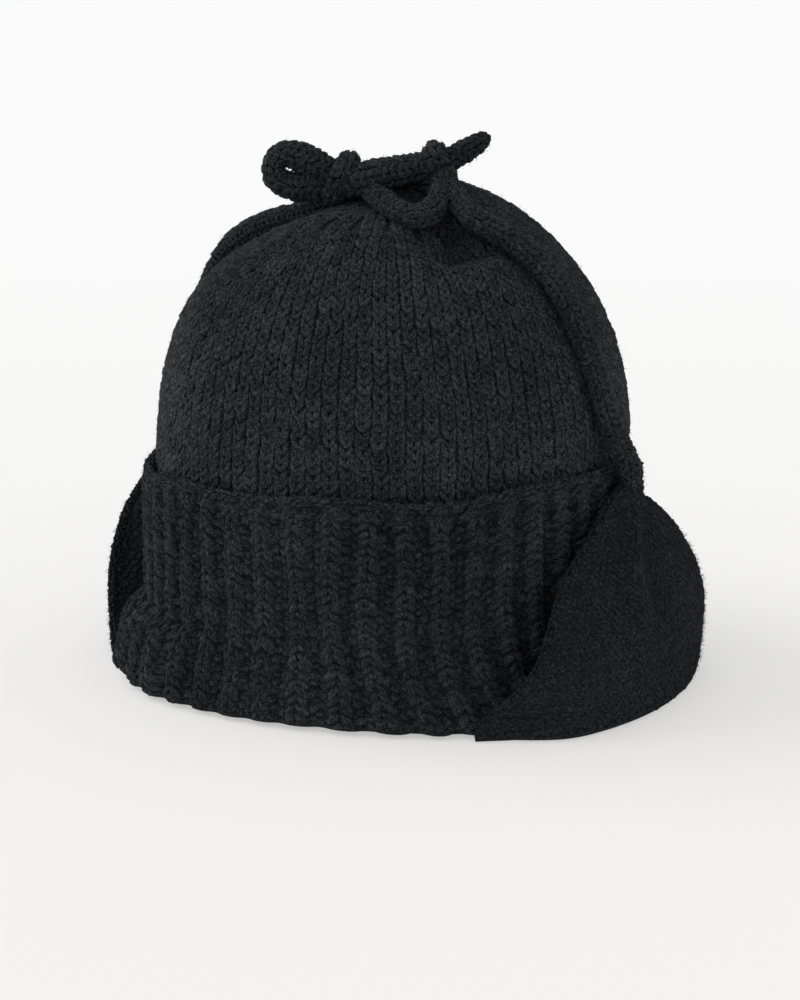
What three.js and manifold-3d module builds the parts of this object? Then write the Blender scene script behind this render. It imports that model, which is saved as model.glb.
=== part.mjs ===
// Knitted watch cap standing on a surface: a crown, a turned-up ribbed cuff, two ear flaps turned up
// outside the cuff, and a tie from each flap's tip to a bow on top of the crown.
// Millimetres, +Z up. The cap's front is toward -Y and its ear flaps are toward +X and -X.
import * as THREE from "three";
import { mergeVertices } from "three/addons/utils/BufferGeometryUtils.js";
import Module from "manifold-3d";

// Driving dimensions
const gap = 0.4;
const crownWall = 4;
const cuffWall = 5;
const flapWall = 4.5;
const flapMiddle = { right: 0, left: 180 };
const tieDiameter = 9.2;
const bowDiameter = 9.8;
const cordSides = 8;
const joinTolerance = 0.08;
const crownSize = { halfWidth: 90.4, halfDepth: 94, springHeight: 86, domeHeight: 100, roundness: 2.25 };
const foldHeight = 5;
const flareHeight = 31;
const ribs = { count: 48, depth: 1.8, steps: [0, 0.18, 0.6, 0.78], rises: [0, 1, 1, 0] };
const flarePower = 1.8;
const edgeWave = { count: 9, height: 0.8 };
const bowTurn = THREE.MathUtils.degToRad(31);

// The cap's round axis stands off the middle of the whole part, because the right flap bulges more.
const axisPlace = { x: -4.89, y: 0.4 };

// Cuff, all the way round: how far its foot reaches out and how high its top edge stands
const cuffTable = [
  { angle: -180, base: 105.4, top: 86 },
  { angle: -155, base: 105.6, top: 80 },
  { angle: -136, base: 108.6, top: 80 },
  { angle: -124, base: 109.6, top: 81.5 },
  { angle: -110, base: 108, top: 83 },
  { angle: -78, base: 102.5, top: 85 },
  { angle: -59, base: 105.8, top: 84.5 },
  { angle: -44, base: 110.4, top: 86 },
  { angle: -18, base: 107.9, top: 90 },
  { angle: 0, base: 106.3, top: 88 },
  { angle: 28, base: 107.9, top: 80 },
  { angle: 44, base: 109.9, top: 80 },
  { angle: 78, base: 103.3, top: 84 },
  { angle: 110, base: 105.4, top: 83 },
  { angle: 135, base: 106.4, top: 81 },
  { angle: 180, base: 105.4, top: 86 },
];

// Cuff's closed section: height from the foot or the top edge, share of the rib relief, and how far
// inside the cuff's outer face
const cuffSection = [
  { from: "foot", height: 0, relief: 0.3, inset: 2.2 },
  { from: "foot", height: 3, relief: 0.8, inset: 0 },
  { from: "foot", height: 15, relief: 1, inset: 0 },
  { from: "foot", height: flareHeight, relief: 1, inset: 0 },
  { from: "top", height: -14, relief: 1, inset: 0 },
  { from: "top", height: -5, relief: 0.6, inset: 0 },
  { from: "top", height: -1.5, relief: 0, inset: -0.5 },
  { from: "top", height: 0, relief: 0, inset: 2.2 },
  { from: "top", height: -2, relief: 0, inset: cuffWall },
  { from: "foot", height: flareHeight, relief: 0, inset: cuffWall },
  { from: "foot", height: foldHeight, relief: 0, inset: cuffWall },
  { from: "foot", height: foldHeight, relief: 0, inset: cuffWall + gap + crownWall },
  { from: "foot", height: 0, relief: 0, inset: cuffWall + gap + crownWall },
];

// Ear flap: the height of its edge at each angle off its middle
const flapEdge = [
  { angle: 0, height: 82 },
  { angle: 3, height: 81 },
  { angle: 6, height: 78.5 },
  { angle: 10, height: 74 },
  { angle: 14, height: 69 },
  { angle: 18, height: 64 },
  { angle: 22, height: 59.5 },
  { angle: 26, height: 54 },
  { angle: 29.5, height: 47 },
  { angle: 32, height: 39 },
  { angle: 34.5, height: 29 },
  { angle: 38.5, height: 18 },
  { angle: 44, height: 5 },
];

// Ear flap: how far its outer face stands from the cap's axis at each height
const flapProfile = [
  { height: 0, right: 120.3, left: 110.1 },
  { height: 3, right: 121.5, left: 111.4 },
  { height: 12, right: 122, left: 112.2 },
  { height: 28, right: 121.6, left: 112.2 },
  { height: 38, right: 119.2, left: 111.4 },
  { height: 44, right: 116.8, left: 110.1 },
  { height: 50, right: 113.3, left: 108.7 },
  { height: 56, right: 109.7, left: 107.1 },
  { height: 62, right: 106.7, left: 105.0 },
  { height: 68, right: 104.2, left: 103.4 },
  { height: 75, right: 102.3, left: 102.3 },
  { height: 82, right: 101.5, left: 101.5 },
];
const flapEdgeDrop = { right: 8, left: 0.6, from: 24 };
const flapFootSkew = { right: 5, left: 0, height: 30 };
const flapRoot = { from: 34, halfAngle: 44, thinning: 0.75 };
const flapClimbs = [0, 0.05, 0.16, 0.34, 0.5, 0.66, 0.82, 1];
const flapShelfShare = 0.6;

// Crown relief, placed in the bow's frame: across, toward the front, how wide and how deep
const crownRelief = [
  { name: "slope under the left tie", across: -38, toward: -10, spread: 23, depth: 12 },
  { name: "bed of the bow", across: 2, toward: 28, spread: 20, depth: 3 },
  { name: "shoulder beside the bow", across: 28, toward: -12, spread: 16, depth: -2.5 },
  { name: "dent beside the right tie", across: 20, toward: 58, spread: 11, depth: 7 },
  { name: "ridge below the dent", across: 36, toward: 58, spread: 8, depth: -2.5 },
];
const reliefCentreHeight = 70;

// The dome leans a little toward the left of the bow's frame, from its spring up to this climb
const crownLean = { across: -1.6, fullClimb: 50 };

// Rows and columns of the crown's mesh, with climbs in degrees from the dome's spring to its pole
const crownMesh = {
  columns: 48,
  outerClimbs: [82, 74, 66, 58, 50, 41, 31, 20, 9],
  innerClimbs: [4, 20, 36, 51, 64, 77],
  outerHeights: [86, 58, flareHeight, foldHeight + gap],
  innerHeights: [foldHeight + gap, flareHeight, 62],
};

// Ties, from each flap's tip over the cuff's edge and up the crown to the bow: x, y, z from the cap's axis
const tieRoutes = {
  right: [
    [101.4, 0, 82.6],
    [101.2, -1, 87.5],
    [99.9, -2, 92],
    [97.6, -3.4, 97],
    [95.4, -5.5, 104],
    [93.2, -7.6, 113],
    [90.8, -9.2, 123],
    [87.4, -10.4, 132.5],
    [81.4, -11.4, 145.1],
    [76.2, -11.9, 153.5],
    [70.3, -12.3, 161],
    [64.4, -12.9, 166.8],
    [57.9, -13.8, 171.9],
    [51.8, -14.7, 175.5],
    [45.6, -15.6, 178.7],
    [39.6, -16.6, 181.3],
  ],
  left: [
    [-101.4, 0, 82.6],
    [-101.2, 0, 87.5],
    [-99.9, 0, 92],
    [-97.4, 0, 97],
    [-94.9, -0.1, 104],
    [-93.1, -0.6, 113.7],
    [-91.2, -1.2, 122.7],
    [-88.4, -1.9, 131.9],
    [-84.7, -2.8, 140.4],
    [-80.6, -3.7, 147.4],
    [-76.3, -4.6, 153.2],
    [-71.3, -5.7, 158.4],
    [-65, -7, 162.9],
    [-58, -8, 166.4],
    [-50.5, -9.3, 169.4],
    [-42.8, -10.5, 171.8],
    [-35, -11.7, 174.2],
    [-29, -12.8, 176.9],
    [-23.7, -13.5, 179.4],
  ],
};
const tieSteps = 34;

// Bow, in its own frame: across, toward the front, height
const bowStrands = {
  leftLoop: [
    [-18.4, 5, 187.2],
    [-25.9, 6, 191.2],
    [-32.2, 7, 195.4],
    [-38.4, 8, 197.8],
    [-43, 9, 195],
    [-44, 9, 190.2],
    [-41, 9, 186.1],
    [-34.5, 8, 185],
    [-27.8, 7, 185.8],
    [-18.4, 6, 186.4],
  ],
  rightLoop: [
    [-18.4, 6, 187.3],
    [-10.9, 3, 188.4],
    [-2.3, 1, 190.4],
    [6, 1, 191.8],
    [11.7, 4, 192],
    [14.2, 12, 190],
    [14, 22, 187],
    [12, 30.5, 184.2],
    [7.6, 36.5, 181.6],
    [2.9, 39, 181],
    [-3.3, 36, 182.4],
    [-8.8, 27, 184.6],
    [-13.4, 17, 186.4],
    [-17.6, 8, 187],
  ],
  rightRoot: [
    [23.8, 33.5, 181.9],
    [17, 29, 184.2],
    [7, 22, 186.8],
    [-6, 14, 187.6],
    [-18, 7, 187.8],
  ],
  leftRoot: [
    [-26.2, 0, 180.1],
    [-23, 2.5, 182.4],
    [-18.5, 6, 186.6],
  ],
};
const bowSteps = { leftLoop: 18, rightLoop: 24, rightRoot: 8, leftRoot: 3 };
const bowTails = {
  front: [
    { across: 11, toward: 4, height: 189.2, radius: 4.9 },
    { across: 17.4, toward: 2.6, height: 192, radius: 5.2 },
    { across: 22.5, toward: 2, height: 194.9, radius: 5.2 },
    { across: 28.6, toward: 2, height: 198.9, radius: 4.7 },
    { across: 34, toward: 2, height: 202.6, radius: 3.8 },
    { across: 37.2, toward: 2, height: 204.4, radius: 2.2 },
  ],
  back: [
    { across: -18, toward: 6, height: 187, radius: 4.9 },
    { across: -14, toward: -4, height: 188, radius: 4.9 },
    { across: -9, toward: -14, height: 188.4, radius: 4.8 },
    { across: -3, toward: -22, height: 187.8, radius: 4.6 },
    { across: 3, toward: -29, height: 186.6, radius: 4.1 },
    { across: 6, toward: -32.6, height: 185.9, radius: 2.4 },
  ],
};
const bowWraps = [
  { name: "knot", across: -19.5, toward: 6.6, height: 188, radius: 5.2, tube: 4.4, core: 6 },
  { name: "right wrap", across: 14.6, toward: 3.2, height: 192.8, radius: 4.2, tube: 3.8, core: 5 },
];

const yarn = {
  crown: new THREE.MeshStandardMaterial({ color: 0x212224, roughness: 0.95, metalness: 0 }),
  cuff: new THREE.MeshStandardMaterial({ color: 0x1e1f21, roughness: 0.95, metalness: 0 }),
  flap: new THREE.MeshStandardMaterial({ color: 0x1d1e20, roughness: 0.96, metalness: 0 }),
  cord: new THREE.MeshStandardMaterial({ color: 0x202123, roughness: 0.95, metalness: 0 }),
};

// Value of one column of a table at a place in its key column, with smooth joins
function readTable(rows, key, column, place) {
  const last = rows.length - 1;
  const held = Math.min(Math.max(place, rows[0][key]), rows[last][key]);
  let i = 0;
  while (i < last - 1 && rows[i + 1][key] < held) {
    i += 1;
  }
  const slope = (a, b) => (rows[b][column] - rows[a][column]) / (rows[b][key] - rows[a][key]);
  const span = rows[i + 1][key] - rows[i][key];
  const t = (held - rows[i][key]) / span;
  const leave = slope(Math.max(i - 1, 0), i + 1) * span;
  const arrive = slope(i, Math.min(i + 2, last)) * span;
  const start = rows[i][column] * (1 + 2 * t) * (1 - t) ** 2;
  const end = rows[i + 1][column] * t * t * (3 - 2 * t);
  return start + end + leave * t * (1 - t) ** 2 + arrive * t * t * (t - 1);
}

function smooth(from, to, value) {
  return THREE.MathUtils.smoothstep(value, from, to);
}

function wrapAngle(degrees) {
  return degrees > 180 ? degrees - 360 : degrees;
}

function polar(degrees, radius, height) {
  const a = THREE.MathUtils.degToRad(degrees);
  return new THREE.Vector3(radius * Math.cos(a), radius * Math.sin(a), height);
}

// Closed body from rings of points: each ring is joined to the next, and a ring of one point closes an end
function skin(rings, options = {}) {
  const positions = [];
  const starts = rings.map((ring) => {
    const start = positions.length / 3;
    ring.forEach((point) => positions.push(point.x, point.y, point.z));
    return start;
  });
  const faces = [];
  const pairs = options.loop ? rings.length : rings.length - 1;
  for (let i = 0; i < pairs; i += 1) {
    const j = (i + 1) % rings.length;
    const count = Math.max(rings[i].length, rings[j].length);
    for (let k = 0; k < count; k += 1) {
      const n = (k + 1) % count;
      const a = starts[i] + (rings[i].length === 1 ? 0 : k);
      const b = starts[i] + (rings[i].length === 1 ? 0 : n);
      const c = starts[j] + (rings[j].length === 1 ? 0 : n);
      const d = starts[j] + (rings[j].length === 1 ? 0 : k);
      if (a !== b) {
        faces.push(a, b, c);
      }
      if (c !== d) {
        faces.push(a, c, d);
      }
    }
  }
  if (options.caps) {
    const points = rings[0].length;
    const half = points / 2;
    const lastStart = starts[rings.length - 1];
    for (let k = 0; k < half - 1; k += 1) {
      const corners = [k, k + 1, points - 2 - k, points - 1 - k];
      const [a, b, c, d] = corners.map((corner) => starts[0] + corner);
      faces.push(a, c, b, a, d, c);
      const [e, f, g, h] = corners.map((corner) => lastStart + corner);
      faces.push(e, f, g, e, g, h);
    }
  }
  const geometry = new THREE.BufferGeometry();
  geometry.setAttribute("position", new THREE.Float32BufferAttribute(positions, 3));
  geometry.setIndex(faces);
  return facingOut(geometry);
}

// Six times the signed volume is positive when a closed mesh faces out
function facingOut(geometry) {
  const at = geometry.attributes.position;
  const index = geometry.index.array;
  const corner = (i) => new THREE.Vector3().fromBufferAttribute(at, index[i]);
  let volume = 0;
  for (let i = 0; i < index.length; i += 3) {
    volume += corner(i).dot(corner(i + 1).cross(corner(i + 2)));
  }
  if (volume < 0) {
    for (let i = 0; i < index.length; i += 3) {
      [index[i], index[i + 1]] = [index[i + 1], index[i]];
    }
  }
  return geometry;
}

// Crown
function crownRadius(degrees) {
  const a = THREE.MathUtils.degToRad(degrees);
  return 1 / Math.hypot(Math.cos(a) / crownSize.halfWidth, Math.sin(a) / crownSize.halfDepth);
}

function cuffBase(degrees) {
  return readTable(cuffTable, "angle", "base", degrees);
}

// Outer face of the cuff without its ribs
function cuffRadius(degrees, height) {
  const body = crownRadius(degrees) + gap + cuffWall;
  const low = Math.max(0, 1 - height / flareHeight);
  return body + (cuffBase(degrees) - body) * low ** flarePower;
}

// How far the crown is pushed in at a place on its dome
function reliefAt(x, y) {
  const across = x * Math.cos(bowTurn) + y * Math.sin(bowTurn);
  const toward = x * Math.sin(bowTurn) - y * Math.cos(bowTurn);
  return crownRelief.reduce((sum, row) => {
    const distance = Math.hypot(across - row.across, toward - row.toward) / row.spread;
    return sum + row.depth * Math.exp(-0.5 * distance ** 2);
  }, 0);
}

// Point of the dome at an angle round the axis and a climb from 0 at its spring to 90 at its pole
function domePoint(degrees, climb, inset) {
  const power = 2 / crownSize.roundness;
  const c = THREE.MathUtils.degToRad(climb);
  const radius = (crownRadius(degrees) - inset) * Math.max(0, Math.cos(c)) ** power;
  const height = crownSize.springHeight + (crownSize.domeHeight - inset) * Math.sin(c) ** power;
  const point = polar(degrees, radius, height);
  const lean = crownLean.across * smooth(0, crownLean.fullClimb, climb);
  point.x += lean * Math.cos(bowTurn);
  point.y += lean * Math.sin(bowTurn);
  const inward = new THREE.Vector3(0, 0, reliefCentreHeight).sub(point).normalize();
  return point.addScaledVector(inward, reliefAt(point.x, point.y));
}

function crownGeometry() {
  const { columns, outerClimbs, innerClimbs, outerHeights, innerHeights } = crownMesh;
  const angles = Array.from({ length: columns }, (_, i) => (i * 360) / columns - 180);
  const dome = (climbs, inset) => climbs.map((climb) => angles.map((a) => domePoint(a, climb, inset)));
  const wall = (heights, inset) =>
    heights.map((z) => angles.map((a) => polar(a, cuffRadius(a, z) - cuffWall - gap - inset, z)));
  return skin([
    [domePoint(0, 90, 0)],
    ...dome(outerClimbs, 0),
    ...wall(outerHeights, 0),
    ...wall(innerHeights, crownWall),
    ...dome(innerClimbs, crownWall),
    [domePoint(0, 90, crownWall)],
  ]);
}

// Cuff: a J-shaped section, folded under the crown's foot, with knit ribs standing out of purl grooves
function cuffGeometry() {
  const columns = [];
  for (let rib = 0; rib < ribs.count; rib += 1) {
    ribs.steps.forEach((step, i) => {
      columns.push({ angle: ((rib + step) * 360) / ribs.count - 180, rise: ribs.rises[i] });
    });
  }
  const place = (column, row) => {
    const wave = edgeWave.height * Math.sin(THREE.MathUtils.degToRad(column.angle * edgeWave.count));
    const top = readTable(cuffTable, "angle", "top", column.angle) + wave;
    const height = row.from === "top" ? top + row.height : row.height;
    const relief = (column.rise - 1) * ribs.depth * row.relief;
    return polar(column.angle, cuffRadius(column.angle, height) + relief - row.inset, height);
  };
  return skin(cuffSection.map((row) => columns.map((column) => place(column, row))), { loop: true });
}

// Ear flap, turned up: a wall that stands off the cuff, on a short shelf that joins it to the cuff's foot
function flapRadius(side, off, height) {
  const drop = flapEdgeDrop[side] * smooth(flapEdgeDrop.from, flapRoot.halfAngle, Math.abs(off));
  const low = Math.max(0, 1 - height / flapFootSkew.height);
  const skew = flapFootSkew[side] * low * Math.sin(THREE.MathUtils.degToRad(off));
  const free = readTable(flapProfile, "height", side, height) - drop - skew;
  const thin = flapRoot.thinning * smooth(flapRoot.from, flapRoot.halfAngle, Math.abs(off));
  const least = flapWall * (1 - thin);
  return Math.max(free, cuffRadius(wrapAngle(flapMiddle[side] + off), height) + gap + least);
}

function flapGeometry(side) {
  const middle = flapMiddle[side];
  const rows = flapEdge.slice(1).reverse().map((row) => ({ off: -row.angle, height: row.height }));
  rows.push(...flapEdge.map((row) => ({ off: row.angle, height: row.height })));
  const sections = rows.map(({ off, height }) => {
    const angle = middle + off;
    const wrapped = wrapAngle(angle);
    const root = (z) => polar(angle, cuffRadius(wrapped, z) + gap, z);
    const shelf = Math.min(flapWall, height * flapShelfShare);
    const outside = flapClimbs.map((climb) => {
      const z = climb * height;
      return polar(angle, flapRadius(side, off, z), z);
    });
    const inside = flapClimbs.map((climb) => {
      const z = shelf + (height - shelf) * climb;
      const clear = cuffRadius(wrapped, z) + gap;
      return polar(angle, Math.max(flapRadius(side, off, z) - flapWall, clear), z);
    });
    return [root(0), ...outside, ...inside.reverse(), root(shelf)];
  });
  return skin(sections, { caps: true });
}

// Round cord along a smooth curve through its points
function cordGeometry(points, diameter, steps) {
  const round = new THREE.Shape();
  for (let i = 0; i < cordSides; i += 1) {
    const a = (i * 2 * Math.PI) / cordSides;
    const place = [(diameter / 2) * Math.cos(a), (diameter / 2) * Math.sin(a)];
    if (i === 0) {
      round.moveTo(...place);
    } else {
      round.lineTo(...place);
    }
  }
  round.closePath();
  const curve = new THREE.CatmullRomCurve3(points.map((point) => new THREE.Vector3(...point)));
  const geometry = new THREE.ExtrudeGeometry(round, { extrudePath: curve, steps, curveSegments: 1 });
  return facingOut(positionsOnly(geometry));
}

function positionsOnly(geometry) {
  const bare = geometry.clone();
  bare.deleteAttribute("normal");
  bare.deleteAttribute("uv");
  return mergeVertices(bare, 1e-4);
}

// Cord that narrows to its free end, ring by ring
function tailGeometry(rows) {
  const points = rows.map((row) => new THREE.Vector3(row.across, -row.toward, row.height));
  const curve = new THREE.CatmullRomCurve3(points);
  const frames = curve.computeFrenetFrames(rows.length - 1, false);
  const rings = rows.map((row, i) =>
    Array.from({ length: cordSides }, (_, k) => {
      const a = (k * 2 * Math.PI) / cordSides;
      const place = points[i].clone();
      place.addScaledVector(frames.normals[i], row.radius * Math.cos(a));
      return place.addScaledVector(frames.binormals[i], row.radius * Math.sin(a));
    }),
  );
  return skin([[points[0]], ...rings, [points[points.length - 1]]]);
}

// Bow: its strands, tails and wraps joined into one body
function bowGeometry() {
  const strands = Object.keys(bowStrands).map((name) => {
    const points = bowStrands[name].map(([across, toward, height]) => [across, -toward, height]);
    return cordGeometry(points, bowDiameter, bowSteps[name]);
  });
  const tails = [tailGeometry(bowTails.front), tailGeometry(bowTails.back)];
  const rings = bowWraps.flatMap((wrap) => {
    const ring = new THREE.TorusGeometry(wrap.radius, wrap.tube, cordSides, 14).rotateY(Math.PI / 2);
    const core = new THREE.SphereGeometry(wrap.core, 8, 6);
    return [ring, core].map((geometry) => {
      geometry.translate(wrap.across, -wrap.toward, wrap.height);
      return facingOut(positionsOnly(geometry));
    });
  });
  return joined([...strands, ...tails, ...rings]);
}

// Closed bodies joined into one, with any pocket left between them filled
function joined(geometries) {
  const solids = geometries.map((geometry) => {
    const vertProperties = new Float32Array(geometry.attributes.position.array);
    const triVerts = new Uint32Array(geometry.index.array);
    return new wasm.Manifold(new wasm.Mesh({ numProp: 3, vertProperties, triVerts }));
  });
  const sum = solids.reduce((first, second) => first.add(second)).simplify(joinTolerance);
  const shells = new wasm.Manifold(sum.getMesh()).decompose();
  const outside = shells.reduce((best, shell) => (shell.volume() > best.volume() ? shell : best));
  const whole = outside.getMesh();
  const geometry = new THREE.BufferGeometry();
  geometry.setAttribute("position", new THREE.BufferAttribute(new Float32Array(whole.vertProperties), 3));
  geometry.setIndex(new THREE.BufferAttribute(new Uint32Array(whole.triVerts), 1));
  return geometry;
}

const wasm = await Module();
wasm.setup();

const body = new THREE.Group();
body.position.set(axisPlace.x, axisPlace.y, 0);

function addPiece(name, geometry, material) {
  const mesh = new THREE.Mesh(geometry, material);
  mesh.name = name;
  body.add(mesh);
  return mesh;
}

addPiece("crown", crownGeometry(), yarn.crown);
addPiece("cuff", cuffGeometry(), yarn.cuff);
addPiece("ear_flap_right", flapGeometry("right"), yarn.flap);
addPiece("ear_flap_left", flapGeometry("left"), yarn.flap);

addPiece("tie_right", cordGeometry(tieRoutes.right, tieDiameter, tieSteps), yarn.cord);
addPiece("tie_left", cordGeometry(tieRoutes.left, tieDiameter, tieSteps), yarn.cord);
const bow = addPiece("bow", bowGeometry(), yarn.cord);
bow.rotation.z = bowTurn;

const group = new THREE.Group();
group.add(body);

export default group;
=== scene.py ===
import bpy
import math
import numpy as np
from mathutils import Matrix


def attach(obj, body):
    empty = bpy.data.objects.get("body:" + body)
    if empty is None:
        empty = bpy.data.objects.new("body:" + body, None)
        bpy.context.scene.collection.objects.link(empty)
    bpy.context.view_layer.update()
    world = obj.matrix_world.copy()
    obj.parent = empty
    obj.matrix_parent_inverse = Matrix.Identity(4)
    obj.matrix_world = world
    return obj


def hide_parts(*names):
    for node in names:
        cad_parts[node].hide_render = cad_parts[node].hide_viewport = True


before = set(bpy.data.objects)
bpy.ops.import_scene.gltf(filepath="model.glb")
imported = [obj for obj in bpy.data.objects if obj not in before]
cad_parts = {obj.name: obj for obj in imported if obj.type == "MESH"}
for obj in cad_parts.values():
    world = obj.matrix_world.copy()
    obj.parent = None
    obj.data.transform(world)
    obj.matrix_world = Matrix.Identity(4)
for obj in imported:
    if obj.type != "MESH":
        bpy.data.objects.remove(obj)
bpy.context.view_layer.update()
print("frame loaded")

# Forms are worked out in millimetres from the cap's round axis; addMesh turns them to metres
axisPlace = (-4.89, 0.4)
gap = 0.4
crownWall = 4.0
cuffWall = 5.0
flapWall = 4.5
bowTurn = math.radians(31)


def clearSelection():
    bpy.ops.object.select_all(action="DESELECT")


def readTable(rows, column, place):
    # smooth curve through one column of a table whose first column is the key
    keys = np.array([row[0] for row in rows], float)
    values = np.array([row[column] for row in rows], float)
    last = len(keys) - 1
    held = np.clip(place, keys[0], keys[-1])
    i = np.clip(np.searchsorted(keys, held, side="left") - 1, 0, last - 1)
    before = np.maximum(i - 1, 0)
    after = np.minimum(i + 2, last)
    span = keys[i + 1] - keys[i]
    t = (held - keys[i]) / span
    leave = (values[i + 1] - values[before]) / (keys[i + 1] - keys[before]) * span
    arrive = (values[after] - values[i]) / (keys[after] - keys[i]) * span
    start = values[i] * (1 + 2 * t) * (1 - t) ** 2
    end = values[i + 1] * t * t * (3 - 2 * t)
    return start + end + leave * t * (1 - t) ** 2 + arrive * t * t * (t - 1)


def smooth(low, high, value):
    t = np.clip((value - low) / (high - low), 0, 1)
    return t * t * (3 - 2 * t)


def polar(degrees, radius, height):
    a = np.radians(degrees)
    return np.stack(np.broadcast_arrays(radius * np.cos(a), radius * np.sin(a), height), -1)


def wrapAngle(degrees):
    return (degrees + 180) % 360 - 180


def unit(vectors):
    return vectors / np.maximum(np.linalg.norm(vectors, axis=-1, keepdims=True), 1e-9)


def flatGrid(first, second):
    # every pair of two lists, as two flat arrays
    return [grid.ravel() for grid in np.meshgrid(first, second)]


def surfaceFrame(form, u, v, dv=0.4, flip=1):
    # a point of a form and the outward direction there
    du = 0.4
    here = form(u, v)
    return here, flip * unit(np.cross(form(u + du, v) - form(u - du, v), form(u, v + dv) - form(u, v - dv)))


# Camera: the photo's view, 31 degrees round from the front and 13 down
photoView = {
    "distance": 900,
    "height": 275,
    "turn": 31,
    "pitch": 13.3,
    "lens": 85.2,
    "shift": 0.006,
}


def addCamera(view):
    turn = math.radians(view["turn"])
    x = axisPlace[0] + view["distance"] * math.sin(turn)
    y = axisPlace[1] - view["distance"] * math.cos(turn)
    clearSelection()
    bpy.ops.object.camera_add(
        location=(x / 1000, y / 1000, view["height"] / 1000),
        rotation=(math.radians(90 - view["pitch"]), 0, turn),
    )
    camera = bpy.context.object
    camera.name = "photo_camera"
    camera.data.lens = view["lens"]
    camera.data.shift_x = view["shift"]
    bpy.context.scene.camera = camera
    print("camera placed")


addCamera(photoView)


# Wool: one yarn for every piece, with small changes of tone
wool = {
    "plies": 3,
    "twist": 1.15,  # turns of the plies, in radians for each millimetre
    # how fast the fibre pattern changes across a ply, along it and from stitch to stitch
    "fibreRates": (0.55, 0.4, 40),
    "fibreScale": 2.2,
    "haloScale": 1300,
    "patchScale": 22,
    "toneShift": -1.49,
    # the ply and crest shares paint highlight and shade on each ply and on each yarn; fibres and halo give light
    # flecks that are partly painted glints
    "toneShares": {"ply": 0.14, "fibres": 1.5, "halo": 1.7, "crest": 0.16, "stitch": 0.14, "patches": 0.4},
    # strength, depth in metres
    "plyBump": (0.5, 0.0006),
    "fibreBump": (0.9, 0.0005),
    "haloBump": (1.0, 0.0006),
    "roughness": 0.95,
    "specular": 0.06,
    "sheen": 0.032,
    "sheenRoughness": 0.5,
    "sheenTint": (0.93, 0.96, 1.0, 1),
    "glintFleck": 2.2,  # how far the tone leans to dark wool with light flecks; the flecks are partly painted glints of fibres catching light, partly random tone
}
woolTones = {
    "crown_knit": {"dark": (0.0052, 0.0055, 0.0061), "light": (0.0880, 0.0926, 0.1020), "sheen": 1.0},
    "cuff_rib": {"dark": (0.0060, 0.0063, 0.0069), "light": (0.0660, 0.0695, 0.0765), "sheen": 0.85},
    "flap_knit": {"dark": (0.0066, 0.0070, 0.0076), "light": (0.0450, 0.0473, 0.0520), "sheen": 0.8},
    "tie_knit": {"dark": (0.0056, 0.0059, 0.0065), "light": (0.0760, 0.0800, 0.0880), "sheen": 0.9},
}


def addNode(tree, kind, inputs=None, **settings):
    node = tree.nodes.new(kind)
    for name, value in settings.items():
        setattr(node, name, value)
    for name, value in (inputs or {}).items():
        if isinstance(value, bpy.types.NodeSocket):
            tree.links.new(value, node.inputs[name])
        else:
            node.inputs[name].default_value = value
    return node


def addMath(tree, operation, *values):
    return addNode(tree, "ShaderNodeMath", dict(enumerate(values)), operation=operation).outputs[0]


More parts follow.
